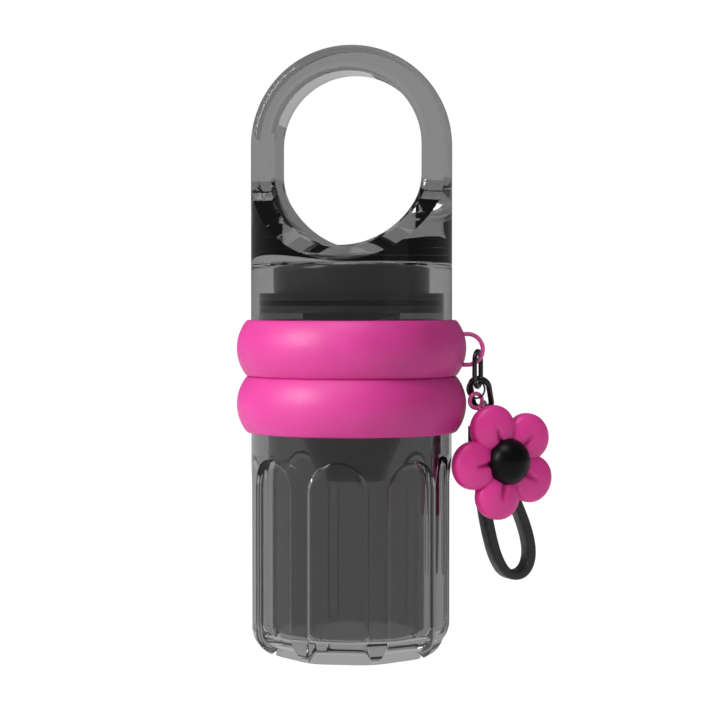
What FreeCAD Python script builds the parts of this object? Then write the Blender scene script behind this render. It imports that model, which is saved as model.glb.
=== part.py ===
import FreeCAD, Part
import math
import os
from FreeCAD import Vector

# Pocket pill splitter, in millimetres. The cup's flat base stands on z = 0, the axis is Z,
# the finger loop lies in the XZ plane and the charm hangs at +X.

# Body
body_radius = 21.0
wall = 1.6
cup_height = 46.5
barrel_height = 28.9
base_thickness = 4.8
base_corner_radius = 6.0
cup_floor_radius = 2.0
cup_wall = 3.5
running_gap = 0.3
seat_gap = 0.1
overshoot = 1.0

# Scooped flutes round the cup
flute_count = 8
flute_flat_half = 4.6
flute_blend_radius = 2.0
flute_depth = 1.8
flute_gap_below_grip = 4.9

# Soft grip rings
grip_height = 11.7
grip_bulge = 3.0
grip_shoulder = 0.9
grip_edge_radius = 0.8
grip_groove_depth = 0.6

# Neck of the cup in the barrel, with its round seal
neck_length = 10.5
neck_seal_drop = 4.0
seal_section = 1.1
seal_gap = 0.05
seal_groove_rim = 0.2

# Pill seat and funnel in the barrel
ledge_gap = 0.4
ledge_thickness = 2.6
ledge_width = 2.7
funnel_flange = 1.2
funnel_wall = 1.0
funnel_outlet_radius = 6.6
funnel_length = 23.5
seat_height = 4.6
pocket_depth = 3.0
pocket_near = 10.0
pocket_run_in = 1.9
pocket_width = 16.0
pad_apex_gap = 1.6
chute_radius = 4.0
blade_slot_width = 1.2

# Cap, finger loop and blade
cap_slope_height = 6.6
loop_thickness = 13.5
loop_edge_radius = 1.6
loop_straight = 30.7
loop_band = 5.8
finger_straight = 5.8
saddle_radius = 7.0
boss_inset = 4.7
boss_height = 6.4
boss_edge_radius = 1.5
plunger_length = 4.0
jaw_width = 20.0
jaw_thickness = 1.8
jaw_drop = 4.2
blade_thickness = 0.6
blade_width = 17.0
blade_drop = 8.6
blade_bevel = 1.2
blade_edge_half = 0.05
screw_radius = 1.0
screw_head_radius = 1.8
screw_head_height = 1.0
screw_spacing = 11.0
screw_slot_half = 0.25
screw_slot_depth = 0.5

# Wire eyelet, chain and charm
eyelet_radius = 3.2
eyelet_wire = 0.45
eyelet_height = 5.6
eyelet_standoff = 0.3
eyelet_root = 2.2
eyelet_seat_angle = 42.0
link_length = 8.4
link_width = 5.2
link_wire = 0.5
link_turn = 13.5
link_drop = 1.5
hang_gap = 0.4
charm_hang_gap = 0.35
link_lower_length = 8.6
link_lower_width = 5.2
link_lower_wire = 0.6
link_lower_shift = 1.2
link_lower_lean = 28.0
jump_radius = 1.9
jump_wire = 0.2
jump_shift = -1.2
charm_turn = 36.0
charm_eyelet_radius = 1.5
charm_eyelet_wire = 0.42
charm_eyelet_overlap = 0.15
charm_root_length = 3.4
charm_root_slope = 40.0
charm_eyelet_setback = 2.5
flower_radius = 12.3
petal_count = 5
petal_radius = 5.0
petal_half_thickness = 2.5
petal_rim = 1.5
petal_tilt = -23.0
core_inset = 0.7
dome_sink = 1.0
back_sink = 1.2
dome_radius = 4.85
dome_rise = 4.2
flower_back_radius = 5.6
flower_back_thickness = 1.0

# Leather hand strap
strap_diameter = 3.4
strap_ring_radius = 2.3
strap_ring_wire = 0.45
crimp_turn = 33.5
crimp_shift = 1.4
crimp_length = 6.0
crimp_wall = 0.4
crimp_drop = 0.9
ear_width = 2.4
ear_thickness = 1.8
ear_rise = 1.1
rivet_drop = 2.8
rivet_radius = 1.1
rivet_head_radius = 1.7
rivet_head_height = 0.3
strap_trim = 0.45

# Heights and radii that follow
parting_z = cup_height
seam_z = cup_height + barrel_height
cup_inner_radius = body_radius - cup_wall
bore_radius = body_radius - wall
grip_bore = body_radius - grip_groove_depth
grip_radius = body_radius + grip_bulge
grip_shoulder_radius = body_radius + grip_shoulder
finger_radius = body_radius - loop_band
boss_radius = body_radius - boss_inset
plug_radius = bore_radius - running_gap
neck_top_z = cup_height + neck_length
seal_centre = bore_radius - seal_gap - seal_section / 2
ledge_low_z = neck_top_z + ledge_gap
ledge_z = ledge_low_z + ledge_thickness
ledge_radius = bore_radius - ledge_width
insert_radius = bore_radius - seat_gap
seat_z = ledge_z + funnel_flange
seat_top = seat_z + seat_height
loop_top_z = seam_z + loop_straight
finger_top_z = loop_top_z
plunger_z = seam_z - plunger_length
blade_tip_z = plunger_z - blade_drop
flute_arch_z = cup_height - flute_gap_below_grip - flute_flat_half - flute_blend_radius
eyelet_x = grip_radius + eyelet_standoff
eyelet_z = parting_z + grip_height + eyelet_height
chute_x = insert_radius - chute_radius - 2 * wall
reach = 4 * body_radius
tiny = 0.001


def tube(outer, inner, low, high):
    solid = Part.makeCylinder(outer, high - low, Vector(0, 0, low))
    return solid.cut(Part.makeCylinder(inner, high - low + 2 * overshoot, Vector(0, 0, low - overshoot)))


def block(low, high):
    size = [b - a for a, b in zip(low, high)]
    return Part.makeBox(size[0], size[1], size[2], Vector(*low))


def turned(points):
    """Solid of revolution about Z, from its half section as radius and height."""
    face = Part.Face(outline([Vector(p[0], 0, p[1]) for p in points]))
    return face.revolve(Vector(0, 0, 0), Vector(0, 0, 1), 360)


def outline(points):
    return Part.Wire([Part.makeLine(a, b) for a, b in zip(points, points[1:] + points[:1])])


def arc(start, middle, end):
    return Part.Arc(start, middle, end).toShape()


def rounded_at(solid, radius, chosen):
    """The solid with every edge that the test picks rounded."""
    return solid.makeFillet(radius, [e for e in solid.Edges if chosen(e)])


def at_height(z):
    return lambda edge: max(abs(edge.BoundBox.ZMin - z), abs(edge.BoundBox.ZMax - z)) < tiny


def flute_cutter():
    """One scoop, facing -Y: a flat bed with blended sides that is round at the top and runs
    under the base's rounded corner."""
    bed = body_radius - flute_depth
    edge = flute_flat_half + flute_blend_radius
    half = math.sqrt(0.5) * flute_blend_radius
    out = body_radius + overshoot
    rim = bed + flute_blend_radius

    def side(sign):
        bend = Vector(sign * (flute_flat_half + half), -(rim - half), 0)
        return arc(Vector(sign * flute_flat_half, -bed, 0), bend, Vector(sign * edge, -rim, 0))

    corners = [Vector(edge, -rim, 0), Vector(edge, -out, 0), Vector(-edge, -out, 0), Vector(-edge, -rim, 0)]
    lines = [Part.makeLine(a, b) for a, b in zip(corners, corners[1:])]
    floor = Part.makeLine(Vector(-flute_flat_half, -bed, 0), Vector(flute_flat_half, -bed, 0))
    run = Part.Face(Part.Wire(Part.__sortEdges__([side(1), *lines, side(-1), floor])))
    run.translate(Vector(0, 0, base_corner_radius))
    straight = run.extrude(Vector(0, 0, flute_arch_z - base_corner_radius))
    corner_centre = Vector(0, base_corner_radius - body_radius, base_corner_radius)
    under = run.revolve(corner_centre, Vector(1, 0, 0), 90)
    centre = [Vector(edge, -out, 0), Vector(0, -out, 0), Vector(0, -bed, 0), Vector(flute_flat_half, -bed, 0)]
    rest = [Part.makeLine(a, b) for a, b in zip(centre, centre[1:])]
    rise = Part.makeLine(Vector(edge, -rim, 0), Vector(edge, -out, 0))
    half_run = Part.Face(Part.Wire(Part.__sortEdges__([side(1), rise, *rest])))
    half_run.translate(Vector(0, 0, flute_arch_z))
    arch = half_run.revolve(Vector(0, 0, flute_arch_z), Vector(0, 1, 0), 360)
    return straight.fuse([arch, under])


def cup_shell():
    """Fluted cup with a neck that plugs into the barrel."""
    outer = turned([(0, 0), (body_radius, 0), (body_radius, cup_height), (plug_radius, cup_height),
                    (plug_radius, neck_top_z), (0, neck_top_z)])
    outer = rounded_at(outer, base_corner_radius, at_height(0))
    cutter = flute_cutter()
    for k in range(flute_count):
        scoop = cutter.copy()
        scoop.rotate(Vector(0, 0, 0), Vector(0, 0, 1), k * 360 / flute_count)
        outer = outer.cut(scoop)
    hollow = Part.makeCylinder(cup_inner_radius, neck_top_z, Vector(0, 0, base_thickness))
    hollow = rounded_at(hollow, cup_floor_radius, at_height(base_thickness))
    return outer.cut(hollow).cut(seal_groove(neck_top_z - neck_seal_drop))


def grip_ring(low):
    """Soft ring with a crowned outer face, seated in its groove."""
    high = low + grip_height
    start, end = Vector(grip_shoulder_radius, 0, low), Vector(grip_shoulder_radius, 0, high)
    crown = arc(start, Vector(grip_radius, 0, (low + high) / 2), end)
    inner_low, inner_high = Vector(grip_bore, 0, low), Vector(grip_bore, 0, high)
    corners = [end, inner_high, inner_low, start]
    sides = [Part.makeLine(a, b) for a, b in zip(corners, corners[1:])]
    ring = Part.Face(Part.Wire([crown, *sides])).revolve(Vector(0, 0, 0), Vector(0, 0, 1), 360)
    at_shoulder = [e for e in ring.Edges
                   if abs(e.BoundBox.XMax - grip_shoulder_radius) < tiny and e.BoundBox.ZLength < tiny]
    return ring.makeFillet(grip_edge_radius, at_shoulder)


def barrel_shell():
    """Tube that carries the grip rings outside and, on a ledge inside, the funnel and the pill seat."""
    groove_high = parting_z + 2 * grip_height
    return turned([(bore_radius, parting_z), (grip_bore, parting_z), (grip_bore, groove_high),
                   (body_radius, groove_high), (body_radius, seam_z), (bore_radius, seam_z),
                   (bore_radius, ledge_z), (ledge_radius, ledge_z), (ledge_radius, ledge_low_z),
                   (bore_radius, ledge_low_z)])


def seal_groove(z):
    floor = seal_centre - seal_section / 2
    return tube(bore_radius + seal_groove_rim, floor, z - seal_section / 2, z + seal_section / 2)


def seal(z):
    return Part.makeTorus(seal_centre, seal_section / 2, Vector(0, 0, z), Vector(0, 0, 1))


def upper_grip_ring():
    """The ring on the barrel, with blind holes for the roots of the eyelet."""
    ring = grip_ring(parting_z + grip_height)
    for side in (-1, 1):
        bottom = Vector(eyelet_x - eyelet_root, 0, eyelet_z + side * eyelet_radius)
        ring = ring.cut(Part.makeCylinder(eyelet_wire, reach, bottom, Vector(1, 0, 0)))
    return ring


def lanyard_eyelet():
    """Half ring of wire in the XZ plane, with two straight roots in the grip ring."""
    centre = Vector(eyelet_x, 0, eyelet_z)
    top, bottom = (centre + Vector(0, 0, side * eyelet_radius) for side in (1, -1))
    root = Vector(-eyelet_root, 0, 0)
    path = Part.Wire([Part.makeLine(top + root, top),
                      arc(top, centre + Vector(eyelet_radius, 0, 0), bottom),
                      Part.makeLine(bottom, bottom + root)])
    section = Part.Wire(Part.makeCircle(eyelet_wire, top + root, Vector(1, 0, 0)))
    return path.makePipeShell([section], True, True)


def funnel_chute():
    """Flanged cone under the pill seat; it drops the pieces into the cup."""
    outlet_z = ledge_z - funnel_length
    mouth = ledge_radius - seat_gap
    return turned([(mouth - funnel_wall, seat_z), (insert_radius, seat_z), (insert_radius, ledge_z),
                   (mouth, ledge_z), (mouth, ledge_z - funnel_wall), (funnel_outlet_radius, outlet_z),
                   (funnel_outlet_radius - funnel_wall, outlet_z),
                   (mouth - funnel_wall, ledge_z - funnel_wall)])


def seat_pocket():
    far, half = chute_x - chute_radius + pocket_run_in, pocket_width / 2
    return block((-pocket_near, -half, seat_top - pocket_depth), (far, half, seat_top + overshoot))


def pill_seat():
    """Round insert with a pocket for the pads, a blade slot and a chute hole for the halves."""
    seat = Part.makeCylinder(insert_radius, seat_height, Vector(0, 0, seat_z)).cut(seat_pocket())
    slot_half = blade_slot_width / 2
    slot_end = blade_width / 2 + running_gap
    slot_floor = blade_tip_z - running_gap
    slot = block((-slot_end, -slot_half, slot_floor), (slot_end, slot_half, seat_top + overshoot))
    chute = Part.makeCylinder(chute_radius, reach, Vector(chute_x, 0, seat_z - overshoot))
    return seat.cut(slot).cut(chute)


def seat_pad(side):
    """Wedge of soft rubber; the two wedges make the V that holds a pill under the blade."""
    near = seat_gap - pocket_near
    far = chute_x - chute_radius
    y_out = pocket_width / 2 - seat_gap
    low = seat_top - pocket_depth
    corners = [Vector(near, side * pad_apex_gap / 2, low), Vector(near, side * y_out, low),
               Vector(far, side * y_out, low), Vector(far, side * (y_out - pad_apex_gap), low)]
    return Part.Face(outline(corners)).extrude(Vector(0, 0, pocket_depth - seat_gap))


def cap_outline_yz():
    """Side view of the cap: full width at the seam, then 45 degree slopes up to the flat loop."""
    half = loop_thickness / 2
    slope_z = seam_z + cap_slope_height
    corner_z = slope_z + body_radius - half
    turn = math.pi / 8
    tangent = saddle_radius * math.tan(turn)
    lean = tangent * math.sqrt(0.5)
    centre = (half + saddle_radius, corner_z + tangent)
    middle = (centre[0] - saddle_radius * math.cos(turn), centre[1] - saddle_radius * math.sin(turn))
    top = loop_top_z + body_radius + overshoot
    edges = []
    for side in (1, -1):
        low = Vector(0, side * body_radius, slope_z)
        bend_start = Vector(0, side * (half + lean), corner_z - lean)
        bend_end = Vector(0, side * half, corner_z + tangent)
        edges.append(Part.makeLine(Vector(0, side * body_radius, seam_z), low))
        edges.append(Part.makeLine(low, bend_start))
        edges.append(arc(bend_start, Vector(0, side * middle[0], middle[1]), bend_end))
        edges.append(Part.makeLine(bend_end, Vector(0, side * half, top)))
    edges.append(Part.makeLine(Vector(0, -half, top), Vector(0, half, top)))
    edges.append(Part.makeLine(Vector(0, -body_radius, seam_z), Vector(0, body_radius, seam_z)))
    return Part.Face(Part.Wire(Part.__sortEdges__(edges)))


def finger_hole():
    """Stadium through the loop along Y, with its round ends at top and bottom."""
    low_z = finger_top_z - finger_straight
    ends = [Part.makeCylinder(finger_radius, reach, Vector(0, -reach / 2, z), Vector(0, 1, 0))
            for z in (low_z, finger_top_z)]
    middle = block((-finger_radius, -reach / 2, low_z), (finger_radius, reach / 2, finger_top_z))
    return ends[0].fuse([ends[1], middle]).removeSplitter()


def cap_shell():
    """Clear cap: a solid saddle that runs up into the finger loop, hollow below for the blade carrier."""
    column = Part.makeCylinder(body_radius, loop_straight, Vector(0, 0, seam_z))
    crown = Part.makeSphere(body_radius, Vector(0, 0, loop_top_z))
    side_view = cap_outline_yz().extrude(Vector(reach, 0, 0))
    side_view.translate(Vector(-reach / 2, 0, 0))
    solid = column.fuse(crown).removeSplitter().common(side_view)
    solid = solid.cut(finger_hole()).removeSplitter()
    solid = rounded_at(solid, loop_edge_radius, loop_edge)
    return solid.cut(boss(boss_radius + seat_gap, boss_height + seat_gap))


def loop_edge(edge):
    """True for the sharp edges where the loop's flat and sloping faces meet its hole."""
    box = edge.BoundBox
    if box.ZMin < seam_z + tiny or box.YLength > body_radius:
        return False
    middle = edge.valueAt((edge.FirstParameter + edge.LastParameter) / 2)
    across = math.hypot(middle.x, max(0, middle.z - finger_top_z, finger_top_z - finger_straight - middle.z))
    return abs(across - finger_radius) < tiny and abs(middle.y) > loop_thickness / 2 - tiny


def boss(radius, height):
    solid = Part.makeCylinder(radius, height, Vector(0, 0, seam_z))
    return rounded_at(solid, boss_edge_radius, at_height(seam_z + height))


def blade_carrier():
    """Plug under the cap: a boss in the cap's cavity, a plunger in the barrel and a jaw for the blade."""
    plunger = Part.makeCylinder(plug_radius, plunger_length, Vector(0, 0, plunger_z))
    plunger = plunger.cut(seal_groove(seam_z - plunger_length / 2))
    half = blade_thickness / 2
    jaw = block((-jaw_width / 2, half, plunger_z - jaw_drop),
                (jaw_width / 2, half + jaw_thickness, plunger_z))
    solid = boss(boss_radius, boss_height).fuse([plunger, jaw]).removeSplitter()
    low = plunger_z - overshoot
    slot = block((-blade_width / 2, -half, low), (blade_width / 2, half, seam_z))
    recess_half = jaw_width / 2 + seat_gap
    recess = block((-recess_half, -half - jaw_thickness - seat_gap, low), (recess_half, -half, seam_z))
    solid = solid.cut(slot).cut(recess)
    for x, z in screw_places():
        solid = solid.cut(Part.makeCylinder(screw_radius, reach, Vector(x, 0, z), Vector(0, 1, 0)))
    return solid


def screw_places():
    z = plunger_z - jaw_drop / 2
    return [(-screw_spacing / 2, z), (screw_spacing / 2, z)]


def blade_clamp():
    """Plate that holds the blade against the jaw, with the screw heads sunk in its face."""
    half = blade_thickness / 2
    plate = block((-jaw_width / 2, -half - jaw_thickness, plunger_z - jaw_drop),
                  (jaw_width / 2, -half, seam_z - seat_gap))
    for x, z in screw_places():
        face = Vector(x, -half - jaw_thickness, z)
        plate = plate.cut(Part.makeCylinder(screw_radius, jaw_thickness, face, Vector(0, 1, 0)))
        plate = plate.cut(Part.makeCylinder(screw_head_radius, screw_head_height, face, Vector(0, 1, 0)))
    return plate


def blade():
    """Steel blade ground from both faces to a straight edge."""
    half = blade_thickness / 2
    top = seam_z - seat_gap
    shoulder = blade_tip_z + blade_bevel
    points = [Vector(0, -half, top), Vector(0, half, top), Vector(0, half, shoulder),
              Vector(0, blade_edge_half, blade_tip_z), Vector(0, -blade_edge_half, blade_tip_z),
              Vector(0, -half, shoulder)]
    solid = Part.Face(outline(points)).extrude(Vector(blade_width, 0, 0))
    solid.translate(Vector(-blade_width / 2, 0, 0))
    for x, z in screw_places():
        solid = solid.cut(Part.makeCylinder(screw_radius, 2 * half, Vector(x, -half, z), Vector(0, 1, 0)))
    return solid


def blade_screws():
    """Two sunk-head screws with a straight driver slot."""
    half = blade_thickness / 2
    screws = []
    for x, z in screw_places():
        start = Vector(x, -half - jaw_thickness, z)
        shank = Part.makeCylinder(screw_radius, 2 * jaw_thickness + 2 * half, start, Vector(0, 1, 0))
        head = Part.makeCylinder(screw_head_radius, screw_head_height, start, Vector(0, 1, 0))
        slot = block((x - reach, start.y - overshoot, z - screw_slot_half),
                     (x + reach, start.y + screw_slot_depth, z + screw_slot_half))
        screws.append(shank.fuse(head).removeSplitter().cut(slot))
    return Part.makeCompound(screws)


def chain_link(length, width, wire, centre, across, upward):
    """Oval link of round wire, long in the direction upward and wide in the direction across."""
    bend = width / 2 - wire
    side = across * bend
    rise = upward * bend
    top = centre + upward * ((length - width) / 2)
    bottom = centre - upward * ((length - width) / 2)
    path = Part.Wire([Part.makeLine(bottom - side, top - side),
                      arc(top - side, top + rise, top + side),
                      Part.makeLine(top + side, bottom + side),
                      arc(bottom + side, bottom - rise, bottom - side)])
    section = Part.Wire(Part.makeCircle(wire, bottom - side, upward))
    return path.makePipeShell([section], True, True)


def heading(degrees):
    """Level unit vector at an angle from +X towards +Y."""
    return Vector(math.cos(math.radians(degrees)), math.sin(math.radians(degrees)), 0)


# Where the chain hangs: each place is worked out from the one above it
seat_angle = math.radians(eyelet_seat_angle)
seat_direction = Vector(math.sin(seat_angle), 0, -math.cos(seat_angle))
link_pivot = Vector(eyelet_x, 0, eyelet_z) + seat_direction * eyelet_radius
link_across = heading(90 - link_turn)
link_axis = heading(-link_turn)
link_centre = link_pivot + Vector(0, 0, link_drop + 2 * link_wire - link_length / 2)
link_bend = link_width / 2 - link_wire
link_low_centre = link_centre - Vector(0, 0, link_length / 2 - link_width / 2)


def on_lower_bend(shift):
    """Centre of the upper link's wire, at a distance along its lower bend."""
    return link_low_centre + link_across * shift - Vector(0, 0, math.sqrt(link_bend**2 - shift**2))


lower_pivot = on_lower_bend(link_lower_shift)
jump_pivot = on_lower_bend(jump_shift)
lower_upward = (Vector(0, 0, 1) - link_across * math.tan(math.radians(link_lower_lean))).normalize()
lower_rise = link_wire + hang_gap + 2 * link_lower_wire - link_lower_length / 2
lower_centre = lower_pivot + lower_upward * lower_rise
jump_centre = jump_pivot + Vector(0, 0, link_wire + hang_gap + jump_wire - jump_radius)
charm_pivot = jump_centre - Vector(0, 0, jump_radius)
charm_side = heading(charm_turn)
charm_front = heading(charm_turn - 90)
charm_hole = charm_eyelet_radius - charm_eyelet_wire
charm_eyelet_centre = charm_pivot - Vector(0, 0, charm_hole - jump_wire - charm_hang_gap)
petal_reach = flower_radius - petal_radius
dome_bed = petal_half_thickness - dome_sink
back_bed = petal_half_thickness - back_sink


def petal_direction(k):
    angle = math.radians(petal_tilt + k * 360 / petal_count)
    return charm_side * math.sin(angle) + Vector(0, 0, math.cos(angle))


flower_centre = (charm_eyelet_centre + charm_front * charm_eyelet_setback
                 - petal_direction(0) * (flower_radius + charm_eyelet_radius - charm_eyelet_overlap))


def upper_link():
    return chain_link(link_length, link_width, link_wire, link_centre, link_across, Vector(0, 0, 1))


def lower_link():
    return chain_link(link_lower_length, link_lower_width, link_lower_wire, lower_centre,
                      link_axis, lower_upward)


def jump_ring():
    return Part.makeTorus(jump_radius, jump_wire, jump_centre, link_across)


def charm_eyelet():
    """Wire ring with a root that slopes forward into the top petal."""
    ring = Part.makeTorus(charm_eyelet_radius, charm_eyelet_wire, charm_eyelet_centre, charm_front)
    inward = petal_direction(0) * -1
    slope = math.radians(charm_root_slope)
    root_direction = inward * math.sin(slope) + charm_front * math.cos(slope)
    start = charm_eyelet_centre + inward * charm_eyelet_radius
    return ring.fuse(Part.makeCylinder(charm_eyelet_wire, charm_root_length, start, root_direction))


def mirrored(point):
    return Vector(point.x, -point.y, 0)


def puff(radius, half_thickness, rim, place):
    """Round cushion of two shallow caps that run smoothly into a round rim, facing the charm's way."""
    rim_reach = radius - rim
    cap = (rim_reach**2 + half_thickness**2 - rim**2) / (2 * (half_thickness - rim))
    lean = Vector(rim_reach, cap - half_thickness, 0).normalize()
    top = Vector(0, half_thickness, 0)
    meeting = Vector(rim_reach, 0, 0) + lean * rim
    halfway = Vector(0, half_thickness - cap, 0) + (Vector(0, 1, 0) + lean).normalize() * cap
    edges = [Part.Arc(top, halfway, meeting).toShape(),
             Part.Arc(meeting, Vector(radius, 0, 0), mirrored(meeting)).toShape(),
             Part.Arc(mirrored(meeting), mirrored(halfway), mirrored(top)).toShape(),
             Part.makeLine(mirrored(top), top)]
    solid = Part.Face(Part.Wire(edges)).revolve(Vector(0, 0, 0), Vector(0, 1, 0), 360)
    solid.rotate(Vector(0, 0, 0), Vector(0, 0, 1), charm_turn)
    solid.translate(place)
    return solid


def flower_core():
    """Disc that joins the petals behind the dome."""
    half = petal_half_thickness - core_inset
    start = flower_centre - charm_front * half
    return Part.makeCylinder(petal_reach - petal_rim, 2 * half, start, charm_front)


def flower_petals():
    places = [flower_centre + petal_direction(k) * petal_reach for k in range(petal_count)]
    puffs = [puff(petal_radius, petal_half_thickness, petal_rim, place) for place in places]
    return flower_core().fuse(puffs).cut(dome_seat()).cut(back_seat()).cut(charm_eyelet())


def dome_seat():
    """Flat round bed for the dome, at the front of the flower."""
    start = flower_centre + charm_front * dome_bed
    return Part.makeCylinder(dome_radius, reach, start, charm_front)


def back_seat():
    start = flower_centre - charm_front * back_bed
    return Part.makeCylinder(flower_back_radius, reach, start, charm_front * -1)


def flower_center():
    """Dome cut from a ball, with a flat back."""
    ball_radius = (dome_radius**2 + dome_rise**2) / (2 * dome_rise)
    bed = flower_centre + charm_front * dome_bed
    ball = Part.makeSphere(ball_radius, bed - charm_front * (ball_radius - dome_rise))
    return ball.common(Part.makeCylinder(2 * dome_radius, reach, bed, charm_front))


def flower_back():
    start = flower_centre - charm_front * back_bed
    return Part.makeCylinder(flower_back_radius - seat_gap, flower_back_thickness, start, charm_front * -1)


# Where the strap hangs under the lower link
strap_pivot = lower_centre - lower_upward * (link_lower_length / 2 - link_lower_wire)
strap_ring_rise = link_lower_wire + strap_ring_wire + hang_gap - strap_ring_radius
strap_ring_centre = strap_pivot + Vector(0, 0, strap_ring_rise)
crimp_side = heading(crimp_turn)
crimp_front = heading(crimp_turn - 90)
ear_place = strap_ring_centre - Vector(0, 0, strap_ring_radius - strap_ring_wire)
crimp_top = ear_place + crimp_side * crimp_shift
crimp_depth = strap_diameter + 2 * crimp_wall
crimp_width = 2 * (strap_diameter + seat_gap + crimp_wall)


def strap_ring():
    return Part.makeTorus(strap_ring_radius, strap_ring_wire, strap_ring_centre, link_axis)


def crimp_block(side_half, front_half, length, drop, place):
    solid = block((-side_half, -front_half, -drop - length), (side_half, front_half, -drop))
    solid.rotate(Vector(0, 0, 0), Vector(0, 0, 1), crimp_turn)
    solid.translate(place)
    return solid


def strap_crimp():
    """Folded metal clamp that grips both ends of the strap, with an ear for the ring."""
    outer = crimp_block(crimp_width / 2, crimp_depth / 2, crimp_length, crimp_drop, crimp_top)
    inner = crimp_block(crimp_width / 2 - crimp_wall, crimp_depth / 2 - crimp_wall, crimp_length,
                        crimp_drop + crimp_wall, crimp_top)
    ear_length = crimp_drop + crimp_wall + ear_rise
    ear = crimp_block(ear_width / 2, ear_thickness / 2, ear_length, -ear_rise, ear_place)
    ring_path = Part.makeTorus(strap_ring_radius, strap_ring_wire + seat_gap, strap_ring_centre, link_axis)
    solid = outer.cut(inner).fuse(ear).removeSplitter().cut(ring_path)
    return solid.cut(rivet_hole(rivet_radius))


def rivet_hole(radius):
    centre = crimp_top - Vector(0, 0, crimp_drop + rivet_drop)
    return Part.makeCylinder(radius, reach, centre - crimp_front * (reach / 2), crimp_front)


def crimp_rivet():
    """Round rivet through the clamp, with a low head on both faces."""
    centre = crimp_top - Vector(0, 0, crimp_drop + rivet_drop)
    half = crimp_depth / 2
    shank = Part.makeCylinder(rivet_radius, 2 * half, centre - crimp_front * half, crimp_front)
    faces = [(centre + crimp_front * half * side, crimp_front * side) for side in (1, -1)]
    heads = [Part.makeCylinder(rivet_head_radius, rivet_head_height, place, out) for place, out in faces]
    return shank.fuse(heads).removeSplitter()


# Route of the strap: sideways along the loop's plane and down from the top of the clamp, then up again
strap_points = [(-1.7, -2.0), (-1.8, -8.4), (-1.7, -15.6), (-0.2, -23.2), (1.5, -28.8), (4.0, -32.5),
                (8.0, -32.6), (10.0, -29.0), (9.0, -23.2), (5.6, -15.8), (2.0, -8.8), (1.7, -2.0)]


def strap_route():
    return [crimp_top + crimp_side * x + Vector(0, 0, z) for x, z in strap_points]


def strap_loop():
    """Straight runs joined by arcs as large as the runs allow."""
    points = strap_route()
    edges = []
    start = points[0]
    for before, corner, after in zip(points, points[1:], points[2:]):
        into = corner - before
        out = after - corner
        turn = into.getAngle(out)
        trim = strap_trim * min(into.Length, out.Length)
        radius = trim / math.tan(turn / 2)
        into.normalize()
        out.normalize()
        bend_start = corner - into * trim
        bend_end = corner + out * trim
        inward = out - into
        inward.normalize()
        middle = corner + inward * (radius / math.cos(turn / 2) - radius)
        edges.append(Part.makeLine(start, bend_start))
        edges.append(arc(bend_start, middle, bend_end))
        start = bend_end
    edges.append(Part.makeLine(start, points[-1]))
    path = Part.Wire(edges)
    first = points[1] - points[0]
    section = Part.Wire(Part.makeCircle(strap_diameter / 2, points[0], first))
    print("strap length", round(path.Length, 2))
    return path.makePipeShell([section], True, True)


nodes = {
    "cup_shell": cup_shell,
    "cup_seal": lambda: seal(neck_top_z - neck_seal_drop),
    "barrel_shell": barrel_shell,
    "lower_grip_ring": lambda: grip_ring(parting_z),
    "upper_grip_ring": upper_grip_ring,
    "lanyard_eyelet": lanyard_eyelet,
    "funnel_chute": funnel_chute,
    "pill_seat": pill_seat,
    "seat_pad_front": lambda: seat_pad(-1),
    "seat_pad_back": lambda: seat_pad(1),
    "cap_shell": cap_shell,
    "blade_carrier": blade_carrier,
    "cap_seal": lambda: seal(seam_z - plunger_length / 2),
    "blade_clamp": blade_clamp,
    "blade": blade,
    "blade_screws": blade_screws,
    "upper_link": upper_link,
    "lower_link": lower_link,
    "jump_ring": jump_ring,
    "charm_eyelet": charm_eyelet,
    "flower_petals": flower_petals,
    "flower_center": flower_center,
    "flower_back": flower_back,
    "strap_ring": strap_ring,
    "strap_crimp": strap_crimp,
    "crimp_rivet": crimp_rivet,
    "strap_loop": strap_loop,
}

os.makedirs("parts", exist_ok=True)
for name, make in nodes.items():
    shape = make()
    print(name, len(shape.Solids), shape.isValid(), round(shape.Volume, 1))
    shape.exportStep(f"parts/{name}.step")
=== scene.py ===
import math

import bmesh
import bpy
from mathutils import Matrix, Vector


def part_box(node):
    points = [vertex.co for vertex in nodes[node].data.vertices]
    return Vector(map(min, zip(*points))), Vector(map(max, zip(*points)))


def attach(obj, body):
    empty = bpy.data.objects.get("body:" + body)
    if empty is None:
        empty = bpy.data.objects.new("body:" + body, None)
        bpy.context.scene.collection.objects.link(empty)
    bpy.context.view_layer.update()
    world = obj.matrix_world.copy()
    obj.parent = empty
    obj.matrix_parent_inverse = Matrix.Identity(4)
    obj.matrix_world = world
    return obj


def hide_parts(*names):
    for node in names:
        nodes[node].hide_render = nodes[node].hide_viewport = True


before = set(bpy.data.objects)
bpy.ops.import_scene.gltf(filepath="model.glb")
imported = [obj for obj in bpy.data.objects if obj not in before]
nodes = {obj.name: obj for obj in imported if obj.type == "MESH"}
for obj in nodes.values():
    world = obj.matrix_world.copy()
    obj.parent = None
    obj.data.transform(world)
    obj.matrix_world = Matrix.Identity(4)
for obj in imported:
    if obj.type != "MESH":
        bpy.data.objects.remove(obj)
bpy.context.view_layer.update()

mm = 0.001
print("frame loaded")


# Materials


def srgb(r, g, b):  # screen values 0 to 255 to the linear colour that a shader takes
    return tuple(((c / 255 + 0.055) / 1.055) ** 2.4 if c > 10 else c / 255 / 12.92 for c in (r, g, b))


def newMaterial(name, colour, roughness, **sockets):
    mat = bpy.data.materials.new(name)
    mat.use_nodes = True
    shader = mat.node_tree.nodes["Principled BSDF"]
    shader.inputs["Base Color"].default_value = (*colour, 1)
    shader.inputs["Roughness"].default_value = roughness
    for key, value in sockets.items():
        shader.inputs[key.replace("_", " ")].default_value = value
    return mat, mat.node_tree, shader


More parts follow.
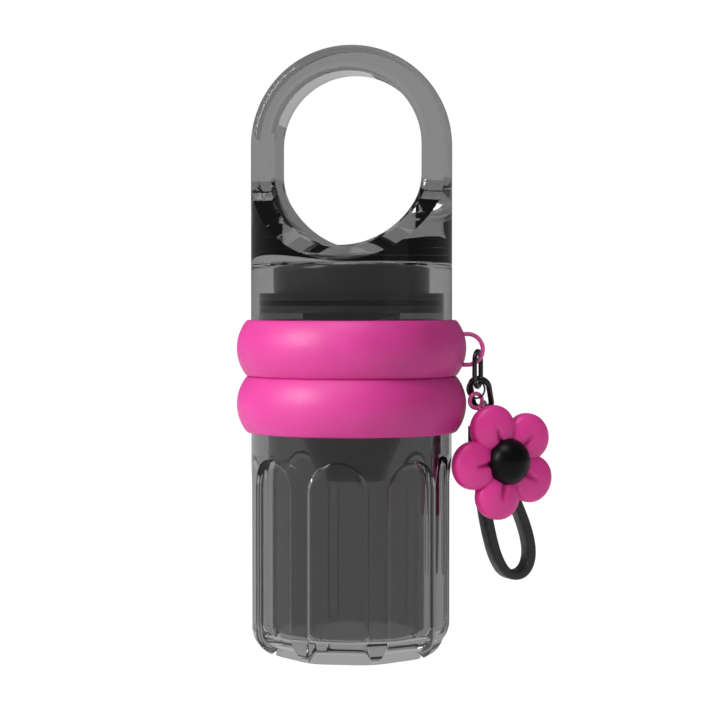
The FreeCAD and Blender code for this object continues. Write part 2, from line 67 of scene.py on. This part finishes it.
def addNode(tree, kind, **inputs):
    node = tree.nodes.new(kind)
    for key, value in inputs.items():
        node.inputs[key.replace("_", " ")].default_value = value
    return node


# Noise on the piece's own coordinates, which are in metres
def grain(tree, scale, detail=3.0, stretch=(1, 1, 1)):
    coords = tree.nodes.new("ShaderNodeTexCoord")
    mapping = tree.nodes.new("ShaderNodeMapping")
    mapping.inputs["Scale"].default_value = stretch
    cloud = addNode(tree, "ShaderNodeTexNoise", Scale=scale, Detail=detail)
    tree.links.new(coords.outputs["Object"], mapping.inputs["Vector"])
    tree.links.new(mapping.outputs["Vector"], cloud.inputs["Vector"])
    return cloud.outputs["Fac"]


def span(tree, value, low, high, fromLow=0.3, fromHigh=0.7):
    node = addNode(tree, "ShaderNodeMapRange", From_Min=fromLow, From_Max=fromHigh,
                   To_Min=low, To_Max=high)
    tree.links.new(value, node.inputs["Value"])
    return node.outputs["Result"]


def bump(tree, shader, height, distance, strength=1.0):
    node = addNode(tree, "ShaderNodeBump", Strength=strength, Distance=distance)
    tree.links.new(height, node.inputs["Height"])
    tree.links.new(node.outputs["Normal"], shader.inputs["Normal"])


def varyRoughness(tree, shader, value, low, high):
    tree.links.new(span(tree, value, low, high), shader.inputs["Roughness"])


def blendColours(tree, shader, value, first, second):
    mix = tree.nodes.new("ShaderNodeMix")
    mix.data_type = "RGBA"
    mix.inputs["A"].default_value = (*first, 1)
    mix.inputs["B"].default_value = (*second, 1)
    tree.links.new(value, mix.inputs["Factor"])
    tree.links.new(mix.outputs["Result"], shader.inputs["Base Color"])


def smokyPlastic(name, tint):  # clear plastic with a smoky grey body colour
    mat, tree, shader = newMaterial(name, tint, 0.02, IOR=1.45, Transmission_Weight=1.0)
    varyRoughness(tree, shader, grain(tree, 60), 0.012, 0.035)
    return mat


def siliconeRubber(name, colour, shade, roughness):
    mat, tree, shader = newMaterial(name, colour, roughness, Subsurface_Weight=0.12,
                                    Subsurface_Scale=1.5 * mm, Coat_Weight=0.12, Coat_Roughness=0.35)
    shader.inputs["Subsurface Radius"].default_value = (1.0, 0.35, 0.6)
    blendColours(tree, shader, span(tree, grain(tree, 90, 4), 0, 1), colour, shade)
    varyRoughness(tree, shader, grain(tree, 700, 2), roughness - 0.05, roughness + 0.05)
    bump(tree, shader, grain(tree, 2600, 2), 0.02 * mm, 0.35)
    return mat


def mouldedPlastic(name, colour, shade, roughness, shine=0.5):
    mat, tree, shader = newMaterial(name, colour, roughness, Specular_IOR_Level=shine)
    blendColours(tree, shader, span(tree, grain(tree, 120, 3), 0, 1), colour, shade)
    varyRoughness(tree, shader, grain(tree, 900, 2), roughness - 0.05, roughness + 0.06)
    bump(tree, shader, grain(tree, 2200, 3), 0.03 * mm, 0.4)
    return mat


def blackPlating(name):  # glossy black plated chain metal, worn slightly brown in places
    mat, tree, shader = newMaterial(name, (0.01, 0.01, 0.011), 0.22, Metallic=0.2,
                                    Coat_Weight=0.3, Coat_Roughness=0.1)
    worn = span(tree, grain(tree, 500, 4), 0, 1, 0.45, 0.75)
    blendColours(tree, shader, worn, (0.006, 0.006, 0.0065), (0.02, 0.019, 0.019))
    varyRoughness(tree, shader, grain(tree, 1500, 3), 0.16, 0.36)
    bump(tree, shader, grain(tree, 1800, 3), 0.03 * mm, 0.3)
    return mat


def bladeSteel(name):  # brushed along X
    mat, tree, shader = newMaterial(name, (0.62, 0.63, 0.65), 0.25, Metallic=1.0)
    lines = grain(tree, 900, 2, (0.06, 1, 1))
    varyRoughness(tree, shader, lines, 0.18, 0.4)
    blendColours(tree, shader, span(tree, lines, 0, 1), (0.55, 0.56, 0.58), (0.72, 0.73, 0.75))
    bump(tree, shader, lines, 0.01 * mm, 0.3)
    return mat


def blackLeather(name):  # fine pebbles, paler where the leather is worn
    mat, tree, shader = newMaterial(name, (0.008, 0.008, 0.008), 0.5, Specular_IOR_Level=0.45,
                                    Coat_Weight=0.3, Coat_Roughness=0.22)
    coords = tree.nodes.new("ShaderNodeTexCoord")
    cells = addNode(tree, "ShaderNodeTexVoronoi", Scale=2100)
    cells.feature = "DISTANCE_TO_EDGE"
    tree.links.new(coords.outputs["Object"], cells.inputs["Vector"])
    pebble = span(tree, cells.outputs["Distance"], 0, 1, 0.0, 0.22)
    worn = span(tree, grain(tree, 420, 5), 0, 1, 0.4, 0.75)
    blendColours(tree, shader, worn, (0.005, 0.005, 0.005), (0.018, 0.017, 0.0165))
    varyRoughness(tree, shader, grain(tree, 900, 3), 0.3, 0.5)
    bump(tree, shader, pebble, 0.09 * mm, 0.75)
    return mat


finishes = {
    "smokyClear": smokyPlastic("smokyClear", srgb(135, 135, 136)),
    "smokyDark": smokyPlastic("smokyDark", srgb(150, 150, 152)),
    "carrierPlastic": mouldedPlastic("carrierPlastic", srgb(160, 160, 162), srgb(150, 150, 152), 0.55),
    "seatPlastic": mouldedPlastic("seatPlastic", srgb(46, 46, 48), srgb(38, 38, 40), 0.5),
    "gripSilicone": siliconeRubber("gripSilicone", srgb(205, 53, 143), srgb(197, 46, 134), 0.52),
    "eyeletEnamel": mouldedPlastic("eyeletEnamel", srgb(232, 96, 172), srgb(222, 80, 160), 0.3),
    "petalRubber": siliconeRubber("petalRubber", srgb(236, 58, 157), srgb(227, 50, 148), 0.42),
    "domeRubber": mouldedPlastic("domeRubber", srgb(6, 4, 5), srgb(4, 3, 4), 0.34, 0.16),
    "sealRubber": mouldedPlastic("sealRubber", srgb(28, 28, 29), srgb(20, 20, 21), 0.7),
    "padRubber": mouldedPlastic("padRubber", srgb(190, 190, 188), srgb(176, 176, 174), 0.8),
    "bladeSteel": bladeSteel("bladeSteel"),
    "blackPlating": blackPlating("blackPlating"),
    "blackLeather": blackLeather("blackLeather"),
}

cadFinish = {
    "cup_shell": "smokyClear", "cup_seal": "sealRubber", "barrel_shell": "smokyClear",
    "lower_grip_ring": "gripSilicone", "upper_grip_ring": "gripSilicone",
    "lanyard_eyelet": "eyeletEnamel",
    "funnel_chute": "smokyDark", "pill_seat": "seatPlastic", "seat_pad_front": "padRubber",
    "seat_pad_back": "padRubber", "cap_shell": "smokyClear", "blade_carrier": "carrierPlastic",
    "cap_seal": "sealRubber", "blade_clamp": "bladeSteel", "blade": "bladeSteel",
    "blade_screws": "bladeSteel",
    "upper_link": "blackPlating", "lower_link": "blackPlating", "jump_ring": "blackPlating",
    "charm_eyelet": "eyeletEnamel", "flower_back": "petalRubber", "strap_ring": "blackPlating",
    "strap_crimp": "blackPlating", "crimp_rivet": "blackPlating",
}
for name, finish in cadFinish.items():
    mesh = nodes[name].data
    mesh.materials.clear()
    mesh.materials.append(finishes[finish])
print("materials made")


# Pieces


def makePiece(name, bm, material, body, *replaced):
    mesh = bpy.data.meshes.new(name)
    bm.to_mesh(mesh)
    bm.free()
    mesh.materials.append(finishes[material])
    mesh.polygons.foreach_set("use_smooth", [True] * len(mesh.polygons))
    piece = bpy.data.objects.new(name, mesh)
    bpy.context.scene.collection.objects.link(piece)
    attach(piece, body)
    if replaced:
        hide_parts(*replaced)
    return piece


# Lengths in mm, angles in degrees, and the petal's flare, plump and crease as shares of its size
flower = {
    "petals": 5, "tilt": -23, "turn": 36.0, "radius": 12.3, "petalRadius": 5.0, "petalHalf": 2.5,
    "coreRadius": 5.6, "coreHalf": 2.0, "backSink": 1.2, "backHalf": 0.5, "flare": 0.04, "plump": 0.62,
    "crease": 0.5, "creaseWidth": 0.09, "creaseEnd": 0.2, "creaseFade": 0.45,
}


def flowerFrame():  # the charm's own axes: x along its face, y to the back, z up
    low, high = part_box("flower_back")
    backCentre = (Vector(low) + Vector(high)) / 2
    turn = math.radians(flower["turn"])
    front = Vector((math.sin(turn), -math.cos(turn), 0))
    centre = backCentre + front * (flower["petalHalf"] - flower["backSink"] + flower["backHalf"]) * mm
    return Matrix.Translation(centre) @ Matrix.Rotation(turn, 4, "Z")


def petalPuff(bm, place):
    made = bmesh.ops.create_uvsphere(bm, u_segments=72, v_segments=40, radius=1)["verts"]
    for v in made:
        x, y, z = v.co
        side = 1 if y > 0 else -1
        thick = abs(y) ** flower["plump"]  # fuller than an oval towards the rim
        inward = max(0.0, min(1.0, (flower["creaseEnd"] - z) / flower["creaseFade"]))
        crease = flower["crease"] * math.exp(-(x / flower["creaseWidth"]) ** 2) * inward
        v.co = Vector((x * (1 + flower["flare"] * z), side * (thick - min(thick, crease)), z))
    radius = flower["petalRadius"] * mm
    size = Matrix.Diagonal((radius, flower["petalHalf"] * mm, radius, 1))
    bmesh.ops.transform(bm, matrix=place @ size, verts=made)


def buildFlower():
    bm = bmesh.new()
    world = flowerFrame()
    reach = (flower["radius"] - flower["petalRadius"]) * mm
    for k in range(flower["petals"]):
        angle = math.radians(flower["tilt"] + k * 360 / flower["petals"])
        petalPuff(bm, world @ Matrix.Rotation(angle, 4, "Y") @ Matrix.Translation((0, 0, reach)))
    core = bmesh.ops.create_uvsphere(bm, u_segments=40, v_segments=20, radius=1)["verts"]
    radius = flower["coreRadius"] * mm
    size = Matrix.Diagonal((radius, flower["coreHalf"] * mm, radius, 1))
    bmesh.ops.transform(bm, matrix=world @ size, verts=core)
    bmesh.ops.recalc_face_normals(bm, faces=bm.faces)
    return makePiece("flowerPetals", bm, "petalRubber", "charm", "flower_petals")


dome = {"radius": 4.85, "rise": 4.2, "sink": 1.0, "cut": 0.02}  # mm, and the cut as a share of the rise


def buildDome():
    bm = bmesh.new()
    made = bmesh.ops.create_uvsphere(bm, u_segments=64, v_segments=32, radius=1)["verts"]
    bmesh.ops.rotate(bm, verts=made, cent=(0, 0, 0), matrix=Matrix.Rotation(math.pi / 2, 3, "X"))
    behind = [v for v in bm.verts if v.co.y > dome["cut"]]
    bmesh.ops.delete(bm, geom=behind, context="VERTS")
    rim = [e for e in bm.edges if e.is_boundary]
    bmesh.ops.contextual_create(bm, geom=rim)
    radius = dome["radius"] * mm
    size = Matrix.Diagonal((radius, dome["rise"] * mm, radius, 1))
    bed = Matrix.Translation((0, (dome["sink"] - flower["petalHalf"]) * mm, 0))
    bmesh.ops.transform(bm, matrix=flowerFrame() @ bed @ size, verts=bm.verts)
    bmesh.ops.recalc_face_normals(bm, faces=bm.faces)
    return makePiece("flowerDome", bm, "domeRubber", "charm", "flower_center")


# Anchor and length in metres, the rest in mm and degrees
strap = {
    "anchor": (0.028535, 0.004633, 0.048489), "length": 0.067, "turn": 33.5,
    "width": 3.4, "thick": 2.0, "corner": 0.45,
    "points": [(-1.7, -2.0), (-1.8, -8.4), (-1.7, -15.6), (-0.2, -23.2), (1.5, -28.8), (4.0, -32.5),
               (8.0, -32.6), (10.0, -29.0), (9.0, -23.2), (5.6, -15.8), (2.0, -8.8), (1.7, -2.0)],
}


def strapRoute():
    turn = math.radians(strap["turn"])
    side = Vector((math.cos(turn), math.sin(turn), 0))
    return [Vector(strap["anchor"]) + (side * x + Vector((0, 0, z))) * mm for x, z in strap["points"]]


def splineCurve(name, points):
    curve = bpy.data.curves.new(name, "CURVE")
    curve.dimensions = "3D"
    spline = curve.splines.new("NURBS")
    spline.points.add(len(points) - 1)
    for point, place in zip(spline.points, points):
        point.co = (*place, 1)
    spline.order_u = 3
    spline.use_endpoint_u = True
    curve.resolution_u = 16
    return bpy.data.objects.new(name, curve)


def buildStrap():
    route = splineCurve("strapRoute", strapRoute())
    line = bpy.data.meshes.new_from_object(route)
    path = [v.co.copy() for v in line.vertices]
    bpy.data.objects.remove(route)
    bpy.data.meshes.remove(line)
    turn = math.radians(strap["turn"])
    across = Vector((math.sin(turn), -math.cos(turn), 0))  # the width lies square to the loop's plane

    def stationAt(i):
        along = (path[min(i + 1, len(path) - 1)] - path[max(i - 1, 0)]).normalized()
        axes = Matrix((across, along.cross(across), along)).transposed().to_4x4()
        return Matrix.Translation(path[i]) @ axes

    bm = bmesh.new()
    bmesh.ops.create_grid(bm, x_segments=1, y_segments=1, size=0.5,
                          matrix=Matrix.Diagonal((strap["width"] * mm, strap["thick"] * mm, 1, 1)))
    bmesh.ops.bevel(bm, geom=bm.verts[:], offset=strap["corner"] * mm, segments=3, profile=0.5,
                    affect="VERTICES", material=-1)
    bmesh.ops.transform(bm, matrix=stationAt(0), verts=bm.verts)
    ring = bm.edges[:]
    for i in range(1, len(path)):
        made = bmesh.ops.extrude_edge_only(bm, edges=ring)["geom"]
        ring = [e for e in made if isinstance(e, bmesh.types.BMEdge) and e.is_boundary]
        verts = [v for v in made if isinstance(v, bmesh.types.BMVert)]
        bmesh.ops.transform(bm, matrix=stationAt(i) @ stationAt(i - 1).inverted(), verts=verts)
    bmesh.ops.contextual_create(bm, geom=ring)
    bmesh.ops.recalc_face_normals(bm, faces=bm.faces)
    piece = makePiece("strapBand", bm, "blackLeather", "strap", "strap_loop")


# Degrees from the front towards +X, then mm in the scene, mm in the lens, and metres for the clip
camera = {
    "azimuth": 7.5, "distance": 420.0, "height": 73.4, "aimHeight": 61.5, "aimSide": 1.76,
    "lens": 100.3, "sensor": 36, "clip": (0.01, 50),
}


def setCamera():
    turn = math.radians(camera["azimuth"])
    right = Vector((math.cos(turn), math.sin(turn), 0))
    toward = Vector((math.sin(turn), -math.cos(turn), 0))
    data = bpy.data.cameras.new("lens")
    data.lens, data.sensor_width = camera["lens"], camera["sensor"]
    data.clip_start, data.clip_end = camera["clip"]
    view = bpy.data.objects.new("camera", data)
    beside = right * camera["aimSide"]
    aim = (beside + Vector((0, 0, camera["aimHeight"]))) * mm
    stand = (beside + toward * camera["distance"] + Vector((0, 0, camera["height"]))) * mm
    view.location = stand
    view.rotation_euler = (aim - stand).to_track_quat("-Z", "Y").to_euler()
    bpy.context.scene.collection.objects.link(view)
    bpy.context.scene.camera = view


setCamera()
buildStrap()
buildFlower()
buildDome()
print("pieces made")


# Studio


studio = {
    "white": 1.0, "ambient": 0.22, "reflected": 0.16, "floorSize": 12.0, "floorGrey": 0.86,
    "floorShare": 0.9, "floorGlow": 1.1, "floorReflected": 0.7, "floorThroughPlastic": 0.95,
}


def raySwitch(tree, kind, yes, no):  # one value for rays of a kind, and another for the rest
    path = tree.nodes.new("ShaderNodeLightPath")
    mix = tree.nodes.new("ShaderNodeMix")
    mix.inputs["A"].default_value = no if isinstance(no, float) else 0.0
    mix.inputs["B"].default_value = yes
    tree.links.new(path.outputs[kind], mix.inputs["Factor"])
    if not isinstance(no, float):
        tree.links.new(no, mix.inputs["A"])
    return mix.outputs["Result"]


def setWorld():  # white behind the object, dimmer where it lights the object or shines in its gloss
    world = bpy.data.worlds.new("studio")
    world.use_nodes = True
    tree = world.node_tree
    sky = tree.nodes["Background"]
    sky.inputs["Color"].default_value = (1, 1, 1, 1)
    level = raySwitch(tree, "Is Glossy Ray", studio["reflected"], studio["ambient"])
    level = raySwitch(tree, "Is Transmission Ray", studio["white"], level)
    tree.links.new(raySwitch(tree, "Is Camera Ray", studio["white"], level), sky.inputs["Strength"])
    bpy.context.scene.world = world


def setFloor():  # pale, and mostly glowing, except to the diffuse rays that light the object
    bm = bmesh.new()
    bmesh.ops.create_grid(bm, x_segments=1, y_segments=1, size=studio["floorSize"] / 2)
    mesh = bpy.data.meshes.new("floor")
    bm.to_mesh(mesh)
    bm.free()
    mat, tree, shader = newMaterial("paleFloor", (studio["floorGrey"],) * 3, 0.9)
    glow = addNode(tree, "ShaderNodeEmission", Color=(1, 1, 1, 1))
    level = raySwitch(tree, "Is Glossy Ray", studio["floorReflected"], studio["floorThroughPlastic"])
    tree.links.new(raySwitch(tree, "Is Camera Ray", studio["floorGlow"], level), glow.inputs["Strength"])
    mix = tree.nodes.new("ShaderNodeMixShader")
    tree.links.new(raySwitch(tree, "Is Diffuse Ray", 0.0, studio["floorShare"]), mix.inputs[0])
    tree.links.new(shader.outputs[0], mix.inputs[1])
    tree.links.new(glow.outputs[0], mix.inputs[2])
    tree.links.new(mix.outputs[0], tree.nodes["Material Output"].inputs["Surface"])
    mesh.materials.append(mat)
    floor = bpy.data.objects.new("floor", mesh)
    bpy.context.scene.collection.objects.link(floor)


lamps = {  # degrees from the front towards +X, then height, distance and size in metres, and watts
    "key": (-48, 0.42, 0.75, 0.32, 6.7),
    "topSoft": (-10, 0.95, 0.35, 0.5, 3.0),
    "fill": (60, 0.2, 1.1, 0.6, 0.12),
}
lampAim = Vector((0, 0, 0.06))


def setLamps():
    for name, (azimuth, height, distance, size, watts) in lamps.items():
        data = bpy.data.lights.new(name, "AREA")
        data.energy, data.size = watts, size
        lamp = bpy.data.objects.new(name, data)
        turn = math.radians(azimuth)
        lamp.location = (math.sin(turn) * distance, -math.cos(turn) * distance, height)
        lamp.rotation_euler = (lampAim - lamp.location).to_track_quat("-Z", "Y").to_euler()
        bpy.context.scene.collection.objects.link(lamp)


setWorld()
setFloor()
setLamps()
bpy.context.scene.view_settings.view_transform = "Standard"
print("studio set")
